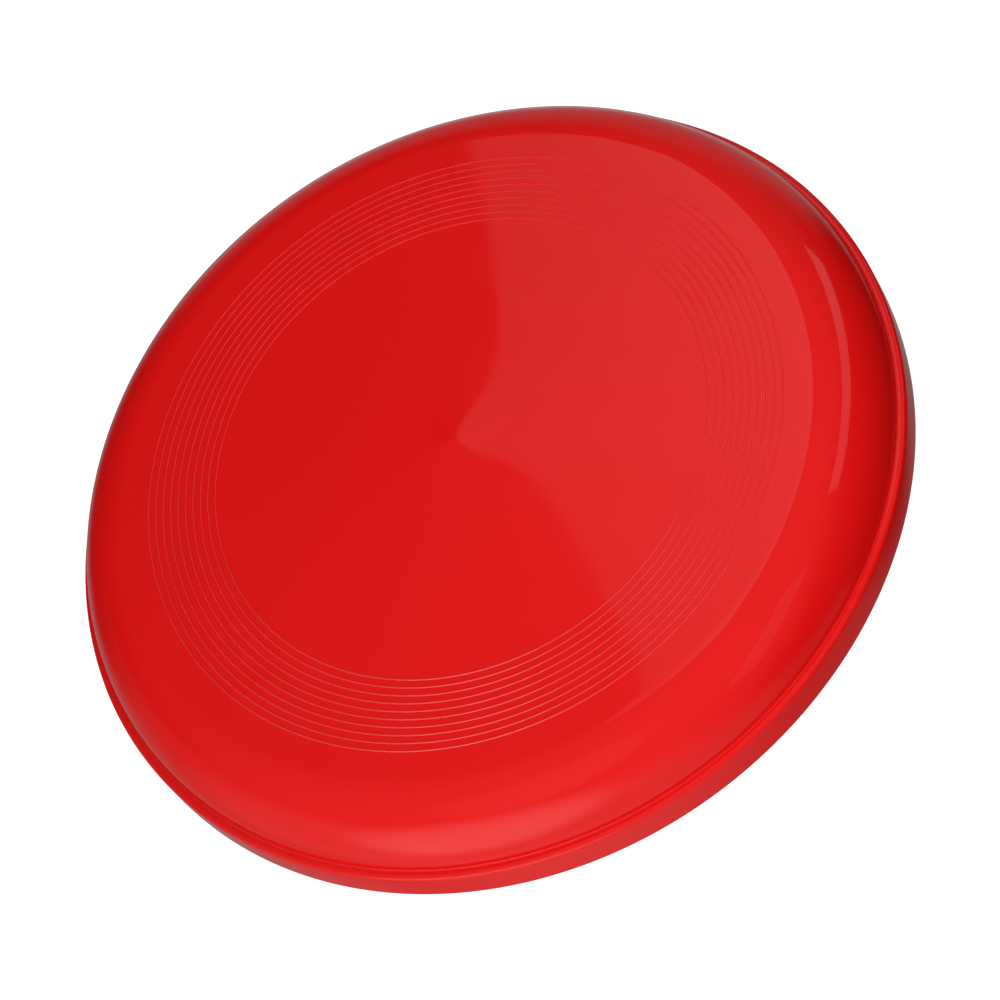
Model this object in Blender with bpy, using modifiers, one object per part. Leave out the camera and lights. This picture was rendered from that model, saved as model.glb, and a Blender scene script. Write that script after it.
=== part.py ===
"""Flying disc: one injection-moulded shell, open underneath.

The disc lies flat with its top up. Its axis is +Z, and the ring that it rests on is at Z = 0. From the centre
outward, the top is a very shallow cone with a small rounded peak and ten fine raised rings, then a rounded
shoulder, then a lip that stands out below the shoulder's foot and ends in a narrow flat resting ring.
"""

import math

import bpy

# Driving dimensions, in metres and radians.
OUTER_RADIUS = 0.1100
WALL = 0.0018

PLATE_SLOPE = 0.0282
TIP_ROUND = 0.0018
PEAK_HEIGHT = 0.00041
PEAK_SPREAD = 0.0075

RING_COUNT = 10
FIRST_RING_RADIUS = 0.0653
RING_PITCH = 0.00208
RING_HALF_WIDTH = 0.0003
RING_HEIGHT = 0.0002

SHOULDER_RADIUS = 0.0173
SHOULDER_DRAFT = math.radians(4.0)

LIP_OVERHANG = 0.0023
FOOT_HEIGHT = 0.0099
CREASE_WIDTH = 0.0006
CREASE_DROP = 0.0003
LIP_ROUND = 0.0013
EDGE_ROUND = 0.0010
INNER_EDGE_ROUND = 0.0005
INNER_DRAFT = math.radians(2.0)

RED_PLASTIC = (0.70, 0.0055, 0.0055, 1.0)
GLOSS_ROUGHNESS = 0.12

# How finely the profile and the turning are divided. The first are the radii of the plate's points in metres.
PLATE_RADII = (0.0, 0.0009, 0.0018, 0.0045, 0.0085, 0.0140, 0.0220, 0.0350)
TURN_STEPS = 72
SHOULDER_STEPS = 9
INNER_SHOULDER_STEPS = 5
CORNER_STEPS = 3
MERGE_DISTANCE = 0.00001

# Sizes that follow from the driving dimensions. Points are (radius, height).
FOOT_RADIUS = OUTER_RADIUS - LIP_OVERHANG
LIP_TOP = FOOT_HEIGHT - CREASE_DROP
FOOT_ANGLE = math.pi / 2 - SHOULDER_DRAFT
ARC_CENTRE = (
    FOOT_RADIUS - SHOULDER_RADIUS * math.sin(FOOT_ANGLE),
    FOOT_HEIGHT - SHOULDER_RADIUS * math.cos(FOOT_ANGLE),
)
PLATE_EDGE_ANGLE = math.atan(PLATE_SLOPE)
PLATE_EDGE_RADIUS = ARC_CENTRE[0] + SHOULDER_RADIUS * math.sin(PLATE_EDGE_ANGLE)
PLATE_EDGE_HEIGHT = ARC_CENTRE[1] + SHOULDER_RADIUS * math.cos(PLATE_EDGE_ANGLE)
INNER_ARC_RADIUS = SHOULDER_RADIUS - WALL


def plate_drop(radius):
    """How far the plate lies below its tip: a shallow cone that steepens towards a small rounded peak."""
    reach = math.hypot(radius, TIP_ROUND) - TIP_ROUND
    return PLATE_SLOPE * reach + PEAK_HEIGHT * (1 - math.exp(-reach / PEAK_SPREAD))


def plate_height(radius):
    """Height of the plate's top face."""
    return PLATE_EDGE_HEIGHT + plate_drop(PLATE_EDGE_RADIUS) - plate_drop(radius)


def arc(centre, radius, start, end, steps):
    """Points of an arc. Angles run from +Z outward: 0 is straight up and pi / 2 is straight out."""
    points = []
    for step in range(steps + 1):
        angle = start + (end - start) * step / steps
        points.append((centre[0] + radius * math.sin(angle), centre[1] + radius * math.cos(angle)))
    return points


def plate_top():
    """The plate from its tip to the last ring. Each ring is a small ridge with a crest and two feet."""
    points = [(radius, plate_height(radius)) for radius in PLATE_RADII]
    for index in range(RING_COUNT):
        crest = FIRST_RING_RADIUS + index * RING_PITCH
        near_foot = crest - RING_HALF_WIDTH
        far_foot = crest + RING_HALF_WIDTH
        points.append((near_foot, plate_height(near_foot)))
        points.append((crest, plate_height(crest) + RING_HEIGHT))
        points.append((far_foot, plate_height(far_foot)))
    return points


def shoulder():
    """The round shoulder, from the plate's edge down to its foot above the lip."""
    return arc(ARC_CENTRE, SHOULDER_RADIUS, PLATE_EDGE_ANGLE, FOOT_ANGLE, SHOULDER_STEPS)


def lip():
    """The crease at the shoulder's foot, then the lip: rounded top, upright band, rounded bottom edge."""
    crease = [(FOOT_RADIUS + CREASE_WIDTH, LIP_TOP)]
    top_centre = (OUTER_RADIUS - LIP_ROUND, LIP_TOP - LIP_ROUND)
    top_round = arc(top_centre, LIP_ROUND, 0.0, math.pi / 2, CORNER_STEPS)
    bottom_centre = (OUTER_RADIUS - EDGE_ROUND, EDGE_ROUND)
    bottom_round = arc(bottom_centre, EDGE_ROUND, math.pi / 2, math.pi, CORNER_STEPS)
    return crease + top_round + bottom_round


def inner_edge():
    """The resting ring's rounded inner edge. The drafted inner wall runs from it to the inner arc."""
    wall_top_radius = ARC_CENTRE[0] + INNER_ARC_RADIUS
    wall_foot_radius = wall_top_radius + ARC_CENTRE[1] * math.tan(INNER_DRAFT)
    centre = (wall_foot_radius + INNER_EDGE_ROUND, INNER_EDGE_ROUND)
    return arc(centre, INNER_EDGE_ROUND, math.pi, 1.5 * math.pi, CORNER_STEPS)


def underside():
    """The inside of the shoulder and the plate, one wall thickness below the top face, back to the axis."""
    inner_arc = arc(ARC_CENTRE, INNER_ARC_RADIUS, math.pi / 2, PLATE_EDGE_ANGLE, INNER_SHOULDER_STEPS)
    plate = [(radius, plate_height(radius) - WALL) for radius in reversed(PLATE_RADII)]
    return inner_arc + plate


def shell_profile():
    """The whole cross-section at +X, from the tip down the outside and back up the inside to the axis."""
    return plate_top() + shoulder() + lip() + inner_edge() + underside()


def turn(name, profile, steps, collection):
    """An object with this profile at +X, turned once round Z by a Screw modifier."""
    mesh = bpy.data.meshes.new(name)
    vertices = [(radius, 0.0, height) for radius, height in profile]
    edges = [(index, index + 1) for index in range(len(vertices) - 1)]
    mesh.from_pydata(vertices, edges, [])
    turned = bpy.data.objects.new(name, mesh)
    collection.objects.link(turned)
    screw = turned.modifiers.new("Turn", "SCREW")
    screw.axis = "Z"
    screw.angle = 2 * math.pi
    screw.steps = steps
    screw.render_steps = steps
    screw.use_merge_vertices = True
    screw.merge_threshold = MERGE_DISTANCE
    screw.use_smooth_shade = True
    return turned


def red_plastic():
    """Glossy red polypropylene."""
    material = bpy.data.materials.new("red_plastic")
    material.use_nodes = True
    shader = material.node_tree.nodes["Principled BSDF"]
    shader.inputs["Base Color"].default_value = RED_PLASTIC
    shader.inputs["Roughness"].default_value = GLOSS_ROUGHNESS
    shader.inputs["Metallic"].default_value = 0.0
    return material


def clear_scene():
    for existing in list(bpy.data.objects):
        bpy.data.objects.remove(existing, do_unlink=True)


def build():
    clear_scene()
    collection = bpy.data.collections.new("flying_disc")
    bpy.context.scene.collection.children.link(collection)
    shell = turn("disc_shell", shell_profile(), TURN_STEPS, collection)
    shell.data.materials.append(red_plastic())


build()
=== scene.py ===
"""Flying disc: the finished look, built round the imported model.

The disc is one moulded piece, so one fine turned mesh stands in for the plain CAD solid. It lies on a plain
pale floor, with its axis along +Z. Azimuths are in degrees, counterclockwise from +X, and polar angles are
from +Z. The camera stands on the -Y side.
"""

import math

import bpy
from mathutils import Matrix, Vector


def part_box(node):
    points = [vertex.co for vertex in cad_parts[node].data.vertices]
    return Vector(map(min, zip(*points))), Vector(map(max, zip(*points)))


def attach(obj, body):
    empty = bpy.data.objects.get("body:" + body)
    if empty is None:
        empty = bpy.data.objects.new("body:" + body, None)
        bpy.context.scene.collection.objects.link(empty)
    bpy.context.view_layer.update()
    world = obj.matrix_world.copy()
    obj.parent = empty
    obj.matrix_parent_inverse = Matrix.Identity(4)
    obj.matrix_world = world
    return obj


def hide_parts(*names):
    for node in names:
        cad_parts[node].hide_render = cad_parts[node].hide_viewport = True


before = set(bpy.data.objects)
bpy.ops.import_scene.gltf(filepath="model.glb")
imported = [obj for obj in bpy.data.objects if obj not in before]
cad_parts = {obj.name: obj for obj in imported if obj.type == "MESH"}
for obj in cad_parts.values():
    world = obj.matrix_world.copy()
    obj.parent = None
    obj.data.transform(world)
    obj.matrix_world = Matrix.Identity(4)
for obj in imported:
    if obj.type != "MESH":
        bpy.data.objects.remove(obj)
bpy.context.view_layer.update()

# The disc's shape, in metres and radians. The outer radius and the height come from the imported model.
OUTER_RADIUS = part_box("disc_shell")[1][0]
TIP_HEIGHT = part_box("disc_shell")[1][2]
WALL = 0.0018
PLATE_SLOPE = 0.0282
TIP_ROUND = 0.0018
PEAK_SPREAD = 0.0075

RING_COUNT = 10
FIRST_RING_RADIUS = 0.0653
RING_PITCH = 0.00208
RING_HALF_WIDTH = 0.00024
RING_HEIGHT = 0.00019
RING_MARGIN = 0.00003

SHOULDER_RADIUS = 0.0173
SHOULDER_DRAFT = math.radians(4.0)
LIP_OVERHANG = 0.0023
FOOT_HEIGHT = 0.0099
CREASE_DROP = 0.0003
CREASE_ROUND = 0.0005
LIP_ROUND = 0.0013
EDGE_ROUND = 0.0010
INNER_EDGE_ROUND = 0.0005
INNER_DRAFT = math.radians(2.0)

# The gate's mark, a low round pad with a stub in the middle of the underside. From outside in: the radius,
# and how far the mark stands down from the underside there.
GATE_MARK = (
    (0.00560, 0.0),
    (0.00550, 0.00002),
    (0.00542, 0.00008),
    (0.00536, 0.00022),
    (0.00526, 0.00028),
    (0.00510, 0.00030),
    (0.00180, 0.00030),
    (0.00160, 0.00032),
    (0.00150, 0.00040),
    (0.00144, 0.00066),
    (0.00134, 0.00074),
    (0.00118, 0.00076),
    (0.00070, 0.00070),
    (0.00040, 0.00060),
    (0.0, 0.00056),
)

# How finely each stretch of the profile and the turning are divided.
TURN_STEPS = 540
TIP_STEPS = 16
PLATE_STEPS = 24
BEAD_STEPS = 14
SHOULDER_STEPS = 64
CREASE_STEPS = 10
LIP_STEPS = 14
EDGE_STEPS = 12
INNER_EDGE_STEPS = 8
INNER_STEPS = 40

# The plate's points lie closer together within this radius. A higher crowding draws them nearer to the tip.
TIP_REACH = 4 * TIP_ROUND
TIP_CROWDING = 1.5

# The plastic. Scales are in cycles per metre and depths in metres. Detail is the number of finer layers.
DYE_SCALE = 14.0
DYE_DETAIL = 4
DYE_RANGE = ((0.69, 0.0053, 0.0053), (0.71, 0.0057, 0.0057))
SPECULAR_LEVEL = 0.20
RING_SPECULAR_LEVEL = 1.0
GLOSS_SCALE = 60.0
GLOSS_DETAIL = 6
GLOSS_RANGE = (0.04, 0.07)
HOLLOW_ROUGHNESS = 0.28
WAVE_SCALE = 38.0
WAVE_DETAIL = 1
WAVE_DEPTH = 0.00002
GRAIN_SCALE = 900.0
GRAIN_DETAIL = 3
GRAIN_DEPTH = 0.00004

# Most of a noise texture's values lie in this span.
NOISE_SPAN = (0.3, 0.7)

# The hollow's faces all turn towards the object's origin, in the middle of the disc's opening. The distance
# of a face's plane from the origin, negative when the face turns towards it, goes through this span in
# metres from outside to hollow.
HOLLOW_SPAN = (-0.0005, -0.003)

FLOOR_RADIUS = 6.0
FLOOR_SIDES = 96
FLOOR_DROP = 0.00005
FLOOR_COLOUR = (0.8, 0.8, 0.8, 1.0)
FLOOR_ROUGHNESS = 0.9
FLOOR_GLOW = 0.7
WHITE = (1.0, 1.0, 1.0, 1.0)

# The studio round the disc, in patches: polar angle and azimuth of the middle, the angles from it where the
# patch ends and where it is full, all in degrees, and the values outside and inside. Glows add up and shades
# multiply.
GLOW_PATCHES = (
    (34.0, -122.0, 85.5, 24.0, 0.05, 0.70),
    (148.0, -168.0, 91.0, 76.5, 0.0, 0.28),
    (83.0, -136.5, 34.0, 12.7, 0.0, 2.2),
    (97.0, 67.0, 40.5, 19.0, 0.0, 0.45),
    (46.5, 43.5, 37.0, 8.0, 0.0, 0.29),
    (34.0, -129.0, 23.0, 11.7, 0.0, 0.465),
    (110.0, -116.0, 57.5, 5.0, 0.0, 0.80),
    (95.0, -172.0, 35.0, 4.0, 0.0, 0.56),
)
SHADE_PATCHES = (
    (114.5, 0.5, 38.8, 27.4, 1.0, 0.0),
    (94.5, 121.0, 27.4, 3.4, 1.0, 0.1),
)

# Makes the backdrop as white to the camera as the floor is.
BACKDROP_STRENGTH = 1.25

# Softboxes: name, centre in metres, direction of the long side, length and width in metres, and radiance.
SOFTBOXES = (
    ("top_panel", (0.156, 0.617, 1.125), (0.291, 0.865, -0.407), 0.78, 0.25, 0.64),
    ("right_strip", (0.983, 0.141, 0.684), (-0.073, -0.680, 0.363), 0.95, 0.24, 1.10),
    ("front_strip", (0.528, -0.8165, 0.761), (-0.2855, -0.535, -0.335), 0.69, 0.26, 0.35),
    ("key", (0.041, -0.140, 0.319), (0.0, 1.0, 0.1), 0.4, 0.4, 1.14),
)

# Shares of the panel's radiance at its left and right sides.
PANEL_SHARES = (0.8, 1.6)

# A rectangular area light of this many watts per square metre has a radiance of 1.
AREA_LIGHT_FACTOR = 4

# The camera: millimetres for the lens and the sensor, metres for its reach and place, degrees for its turns.
CAMERA_LENS = 148.0
SENSOR_WIDTH = 36.0
CAMERA_REACH = 30.0
CAMERA_PLACE = (0.0001, -0.6155, 0.8364)
CAMERA_TILT = 36.24
CAMERA_ROLL = -36.45

# Sizes that follow from the ones above. Points are (radius, height).
FOOT_RADIUS = OUTER_RADIUS - LIP_OVERHANG
FOOT_ANGLE = math.pi / 2 - SHOULDER_DRAFT
ARC_CENTRE = (
    FOOT_RADIUS - SHOULDER_RADIUS * math.sin(FOOT_ANGLE),
    FOOT_HEIGHT - SHOULDER_RADIUS * math.cos(FOOT_ANGLE),
)
PLATE_EDGE_ANGLE = math.atan(PLATE_SLOPE)
PLATE_EDGE_RADIUS = ARC_CENTRE[0] + SHOULDER_RADIUS * math.sin(PLATE_EDGE_ANGLE)
PLATE_EDGE_HEIGHT = ARC_CENTRE[1] + SHOULDER_RADIUS * math.cos(PLATE_EDGE_ANGLE)
INNER_ARC_RADIUS = SHOULDER_RADIUS - WALL
LIP_TOP = FOOT_HEIGHT - CREASE_DROP
BEAD_RADIUS = (RING_HALF_WIDTH ** 2 + RING_HEIGHT ** 2) / (2 * RING_HEIGHT)

# The crease is a small hollow arc that leaves the shoulder at this angle and meets the lip's flat top.
CREASE_ANGLE = math.acos((LIP_TOP + CREASE_ROUND - ARC_CENTRE[1]) / (SHOULDER_RADIUS + CREASE_ROUND))
CREASE_CENTRE = (
    ARC_CENTRE[0] + (SHOULDER_RADIUS + CREASE_ROUND) * math.sin(CREASE_ANGLE),
    LIP_TOP + CREASE_ROUND,
)


def arc(centre, radius, start, end, steps):
    """Points (radius, height) of an arc. Angles run from +Z outward: 0 is up and pi / 2 is straight out."""
    points = []
    for step in range(steps + 1):
        angle = start + (end - start) * step / steps
        points.append((centre[0] + radius * math.sin(angle), centre[1] + radius * math.cos(angle)))
    return points


def along_cone(radius):
    """Distance from the axis along the cone, where the rounding of its tip counts for less."""
    return math.hypot(radius, TIP_ROUND) - TIP_ROUND


PEAK_HEIGHT = TIP_HEIGHT - PLATE_EDGE_HEIGHT - PLATE_SLOPE * along_cone(PLATE_EDGE_RADIUS)


def plate_height(radius):
    """Height of the plate's top face: a shallow cone that steepens towards a small rounded peak."""
    reach = along_cone(radius)
    return TIP_HEIGHT - PLATE_SLOPE * reach - PEAK_HEIGHT * (1 - math.exp(-reach / PEAK_SPREAD))


def bead_height(offset):
    """Height of a ring above the plate at this distance from its middle: part of a circle."""
    return math.sqrt(BEAD_RADIUS ** 2 - offset ** 2) - BEAD_RADIUS + RING_HEIGHT


def plain_plate():
    """The plate from its tip to half a pitch before the first ring."""
    radii = [TIP_REACH * (step / TIP_STEPS) ** TIP_CROWDING for step in range(TIP_STEPS + 1)]
    span = FIRST_RING_RADIUS - RING_PITCH / 2 - TIP_REACH
    radii += [TIP_REACH + span * step / PLATE_STEPS for step in range(1, PLATE_STEPS + 1)]
    return [(radius, plate_height(radius)) for radius in radii]


def ring(middle):
    """One raised ring: a round bead with a narrow margin on each side, then the plate half a pitch on."""
    before = middle - RING_HALF_WIDTH - RING_MARGIN
    after = middle + RING_HALF_WIDTH + RING_MARGIN
    between = middle + RING_PITCH / 2
    points = [(before, plate_height(before))]
    for step in range(BEAD_STEPS + 1):
        offset = -RING_HALF_WIDTH * math.cos(math.pi * step / BEAD_STEPS)
        points.append((middle + offset, plate_height(middle + offset) + bead_height(offset)))
    return points + [(after, plate_height(after)), (between, plate_height(between))]


def plate_top():
    """The plate from its tip to just past the last ring."""
    points = plain_plate()
    for index in range(RING_COUNT):
        points += ring(FIRST_RING_RADIUS + index * RING_PITCH)
    return points


def shoulder():
    """The flat outside the last ring, then the round shoulder down to the crease."""
    return arc(ARC_CENTRE, SHOULDER_RADIUS, PLATE_EDGE_ANGLE, CREASE_ANGLE, SHOULDER_STEPS)


def lip():
    """The crease, then the lip: a narrow flat top, rounded edge, upright band, rounded bottom edge."""
    crease = arc(CREASE_CENTRE, CREASE_ROUND, CREASE_ANGLE + math.pi, math.pi, CREASE_STEPS)
    top_centre = (OUTER_RADIUS - LIP_ROUND, LIP_TOP - LIP_ROUND)
    top_edge = arc(top_centre, LIP_ROUND, 0.0, math.pi / 2, LIP_STEPS)
    bottom_centre = (OUTER_RADIUS - EDGE_ROUND, EDGE_ROUND)
    bottom_edge = arc(bottom_centre, EDGE_ROUND, math.pi / 2, math.pi, EDGE_STEPS)
    return crease[1:] + top_edge + bottom_edge


def inner_edge():
    """The resting ring's rounded inner edge. The drafted inner wall runs from it to the inner arc."""
    wall_top_radius = ARC_CENTRE[0] + INNER_ARC_RADIUS
    wall_foot_radius = wall_top_radius + ARC_CENTRE[1] * math.tan(INNER_DRAFT)
    centre = (wall_foot_radius + INNER_EDGE_ROUND, INNER_EDGE_ROUND)
    return arc(centre, INNER_EDGE_ROUND, math.pi, 1.5 * math.pi, INNER_EDGE_STEPS)


def underside():
    """The inside of the shoulder and the plate, one wall thickness under the top, and the gate's mark."""
    inner_arc = arc(ARC_CENTRE, INNER_ARC_RADIUS, math.pi / 2, PLATE_EDGE_ANGLE, INNER_STEPS)
    start = inner_arc[-1][0]
    end = GATE_MARK[0][0]
    inner_plate = []
    for step in range(1, INNER_STEPS + 1):
        radius = start + (end - start) * step / INNER_STEPS
        inner_plate.append((radius, plate_height(radius) - WALL))
    gate = [(radius, inner_plate[-1][1] - depth) for radius, depth in GATE_MARK[1:]]
    return inner_arc + inner_plate + gate


def turned_faces(count, steps):
    """Faces between the turned copies of a row of this many points, and fans at the first and last point."""
    last = 1 + count * steps
    faces = []
    for step in range(steps):
        here = 1 + step * count
        there = 1 + ((step + 1) % steps) * count
        faces.append((0, here, there))
        for index in range(count - 1):
            faces.append((here + index, here + index + 1, there + index + 1, there + index))
        faces.append((here + count - 1, last, there + count - 1))
    return faces


def turned(name, profile, steps):
    """A closed mesh object: the profile, which starts and ends on the axis, turned once round Z."""
    row = profile[1:-1]
    vertices = [(0.0, 0.0, profile[0][1])]
    for step in range(steps):
        angle = 2 * math.pi * step / steps
        across = math.cos(angle)
        along = math.sin(angle)
        vertices += [(radius * across, radius * along, height) for radius, height in row]
    vertices.append((0.0, 0.0, profile[-1][1]))
    mesh = bpy.data.meshes.new(name)
    mesh.from_pydata(vertices, [], turned_faces(len(row), steps))
    mesh.update()
    mesh.shade_smooth()
    piece = bpy.data.objects.new(name, mesh)
    bpy.context.scene.collection.objects.link(piece)
    return piece


def add_node(tree, kind, settings, inputs):
    """Add a node. Each input is either a constant or another node's output."""
    node = tree.nodes.new(kind)
    for name, value in settings.items():
        setattr(node, name, value)
    for name, value in inputs.items():
        if isinstance(value, bpy.types.NodeSocket):
            tree.links.new(value, node.inputs[name])
        else:
            node.inputs[name].default_value = value
    return node


def calculate(tree, operation, *values):
    """The result of a Math node."""
    return add_node(tree, "ShaderNodeMath", {"operation": operation}, dict(enumerate(values))).outputs[0]


def dot_product(tree, first, second):
    inputs = {0: first, 1: second}
    return add_node(tree, "ShaderNodeVectorMath", {"operation": "DOT_PRODUCT"}, inputs).outputs["Value"]


def noise(tree, place, scale, detail):
    inputs = {"Vector": place, "Scale": scale, "Detail": detail}
    return add_node(tree, "ShaderNodeTexNoise", {}, inputs).outputs[0]


def spread(tree, value, span, result):
    """Stretch the values in this span over the result's span, with soft ends."""
    inputs = {
        "Value": value,
        "From Min": span[0],
        "From Max": span[1],
        "To Min": result[0],
        "To Max": result[1],
    }
    return add_node(tree, "ShaderNodeMapRange", {"interpolation_type": "SMOOTHSTEP"}, inputs).outputs[0]


def dye(tree, place):
    """The red, very slightly uneven."""
    ramp = add_node(tree, "ShaderNodeValToRGB", {}, {0: noise(tree, place, DYE_SCALE, DYE_DETAIL)})
    for stop, position, colour in zip(ramp.color_ramp.elements, NOISE_SPAN, DYE_RANGE):
        stop.position = position
        stop.color = (*colour, 1.0)
    return ramp.outputs[0]


def on_bead(tree, place):
    """1 within half a bead's width of the middle of a ring, by distance from the axis, and 0 elsewhere."""
    flat = add_node(tree, "ShaderNodeVectorMath", {"operation": "MULTIPLY"}, {0: place, 1: (1.0, 1.0, 0.0)})
    radius = add_node(tree, "ShaderNodeVectorMath", {"operation": "LENGTH"}, {0: flat.outputs[0]})
    inputs = {
        "Value": radius.outputs["Value"],
        "From Min": FIRST_RING_RADIUS,
        "From Max": FIRST_RING_RADIUS + RING_PITCH,
    }
    count = add_node(tree, "ShaderNodeMapRange", {"clamp": False}, inputs).outputs[0]
    nearest = calculate(tree, "MAXIMUM", calculate(tree, "ROUND", count), 0.0)
    nearest = calculate(tree, "MINIMUM", nearest, RING_COUNT - 1.0)
    offset = calculate(tree, "ABSOLUTE", calculate(tree, "SUBTRACT", count, nearest))
    return calculate(tree, "LESS_THAN", offset, RING_HALF_WIDTH / RING_PITCH)


def specular_level(tree, place, hollow):
    """Stronger reflections on the rings' beads than on the rest."""
    outside_bead = calculate(tree, "MULTIPLY", on_bead(tree, place), calculate(tree, "SUBTRACT", 1.0, hollow))
    gain = RING_SPECULAR_LEVEL - SPECULAR_LEVEL
    return calculate(tree, "MULTIPLY_ADD", outside_bead, gain, SPECULAR_LEVEL)


def surface_relief(tree, place, hollow):
    """Very faint waves everywhere, and a fine grain in the hollow."""
    wave_height = noise(tree, place, WAVE_SCALE, WAVE_DETAIL)
    waves = add_node(tree, "ShaderNodeBump", {}, {"Height": wave_height, "Distance": WAVE_DEPTH})
    inputs = {
        "Strength": hollow,
        "Height": noise(tree, place, GRAIN_SCALE, GRAIN_DETAIL),
        "Distance": GRAIN_DEPTH,
        "Normal": waves.outputs[0],
    }
    return add_node(tree, "ShaderNodeBump", {}, inputs).outputs[0]


def moulded_red():
    """Red polypropylene: glossy and very faintly wavy outside, dull and grainy in the hollow."""
    material = bpy.data.materials.new("moulded_red")
    material.use_nodes = True
    tree = material.node_tree
    texture_space = add_node(tree, "ShaderNodeTexCoord", {}, {})
    place = texture_space.outputs["Object"]
    facing = dot_product(tree, place, texture_space.outputs["Normal"])
    hollow = spread(tree, facing, HOLLOW_SPAN, (0.0, 1.0))
    gloss = spread(tree, noise(tree, place, GLOSS_SCALE, GLOSS_DETAIL), NOISE_SPAN, GLOSS_RANGE)
    roughness = calculate(tree, "MULTIPLY_ADD", hollow, HOLLOW_ROUGHNESS, gloss)
    shader = tree.nodes["Principled BSDF"]
    tree.links.new(dye(tree, place), shader.inputs["Base Color"])
    tree.links.new(roughness, shader.inputs["Roughness"])
    tree.links.new(specular_level(tree, place, hollow), shader.inputs["Specular IOR Level"])
    tree.links.new(surface_relief(tree, place, hollow), shader.inputs["Normal"])
    return material


def pale_floor():
    """A plain pale floor. Its glow is for the camera only, so that it looks white and lights nothing."""
    material = bpy.data.materials.new("pale_floor")
    material.use_nodes = True
    tree = material.node_tree
    shader = tree.nodes["Principled BSDF"]
    shader.inputs["Base Color"].default_value = FLOOR_COLOUR
    shader.inputs["Roughness"].default_value = FLOOR_ROUGHNESS
    shader.inputs["Specular IOR Level"].default_value = 0.0
    shader.inputs["Emission Color"].default_value = WHITE
    camera_ray = add_node(tree, "ShaderNodeLightPath", {}, {}).outputs["Is Camera Ray"]
    tree.links.new(calculate(tree, "MULTIPLY", camera_ray, FLOOR_GLOW), shader.inputs["Emission Strength"])
    return material


def add_floor():
    """The floor, just below the disc. It neither lights the disc nor shows in its reflections."""
    bpy.ops.mesh.primitive_circle_add(vertices=FLOOR_SIDES, radius=FLOOR_RADIUS, fill_type="NGON")
    floor = bpy.context.object
    floor.name = "floor"
    floor.location.z = -FLOOR_DROP
    floor.data.materials.append(pale_floor())
    floor.visible_diffuse = False
    floor.visible_glossy = False


def direction(polar, azimuth):
    """Unit vector for a polar angle from +Z and an azimuth from +X, both in degrees."""
    down = math.radians(polar)
    turn = math.radians(azimuth)
    return Vector((math.sin(down) * math.cos(turn), math.sin(down) * math.sin(turn), math.cos(down)))


def softbox(name, centre, along, length, width, radiance):
    """A rectangular light that faces the disc, with its long side as near as it can be to this direction."""
    light = bpy.data.lights.new(name, "AREA")
    light.shape = "RECTANGLE"
    light.size = width
    light.size_y = length
    light.energy = AREA_LIGHT_FACTOR * width * length * radiance
    back = Vector(centre).normalized()
    up = Vector(along)
    up = (up - up.dot(back) * back).normalized()
    side = up.cross(back)
    facing = Matrix((side, up, back)).transposed().to_4x4()
    lamp = bpy.data.objects.new(name, light)
    lamp.matrix_world = Matrix.Translation(centre) @ facing
    lamp.visible_camera = False
    bpy.context.scene.collection.objects.link(lamp)
    return lamp


def shade_across(lamp, left, right):
    """Make a softbox shine unevenly: one share of its radiance at its left side, another at its right."""
    light = lamp.data
    light.use_nodes = True
    tree = light.node_tree
    across = add_node(tree, "ShaderNodeNewGeometry", {}, {}).outputs["Parametric"]
    first = add_node(tree, "ShaderNodeSeparateXYZ", {}, {0: across}).outputs[0]
    strength = spread(tree, first, (0.0, 1.0), (left, right))
    tree.links.new(strength, tree.nodes["Emission"].inputs["Strength"])


def add_softboxes():
    """All the softboxes. The panel shines unevenly, and the key light shows in no reflection."""
    lamps = {settings[0]: softbox(*settings) for settings in SOFTBOXES}
    shade_across(lamps["top_panel"], *PANEL_SHARES)
    lamps["key"].visible_glossy = False


def patch(tree, place, settings):
    """One patch of the studio, from its table entry."""
    polar, azimuth, outer, inner, low, high = settings
    closeness = dot_product(tree, place, direction(polar, azimuth))
    span = (math.cos(math.radians(outer)), math.cos(math.radians(inner)))
    return spread(tree, closeness, span, (low, high))


def add_world():
    """A plain studio: white to the camera, and a soft glow with brighter and darker sides for all else."""
    world = bpy.data.worlds.new("studio")
    bpy.context.scene.world = world
    world.use_nodes = True
    tree = world.node_tree
    tree.nodes.clear()
    place = add_node(tree, "ShaderNodeTexCoord", {}, {}).outputs["Generated"]
    glow = patch(tree, place, GLOW_PATCHES[0])
    for settings in GLOW_PATCHES[1:]:
        glow = calculate(tree, "ADD", glow, patch(tree, place, settings))
    for settings in SHADE_PATCHES:
        glow = calculate(tree, "MULTIPLY", glow, patch(tree, place, settings))
    camera_ray = add_node(tree, "ShaderNodeLightPath", {}, {}).outputs["Is Camera Ray"]
    backdrop = calculate(tree, "MULTIPLY", camera_ray, BACKDROP_STRENGTH)
    strength = calculate(tree, "MAXIMUM", glow, backdrop)
    background = add_node(tree, "ShaderNodeBackground", {}, {"Strength": strength})
    add_node(tree, "ShaderNodeOutputWorld", {}, {"Surface": background.outputs[0]})


def add_camera():
    """The camera, at the photo's viewing angle."""
    camera = bpy.data.cameras.new("camera")
    camera.lens = CAMERA_LENS
    camera.sensor_width = SENSOR_WIDTH
    camera.clip_end = CAMERA_REACH
    holder = bpy.data.objects.new("camera", camera)
    holder.matrix_world = (
        Matrix.Translation(CAMERA_PLACE)
        @ Matrix.Rotation(math.radians(CAMERA_TILT), 4, "X")
        @ Matrix.Rotation(math.radians(CAMERA_ROLL), 4, "Z")
    )
    bpy.context.scene.collection.objects.link(holder)
    bpy.context.scene.camera = holder


disc = turned("flying_disc", plate_top() + shoulder() + lip() + inner_edge() + underside(), TURN_STEPS)
disc.data.materials.append(moulded_red())
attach(disc, "root")
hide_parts("disc_shell")

add_floor()
add_world()
add_softboxes()
add_camera()
bpy.context.scene.view_settings.view_transform = "Standard"
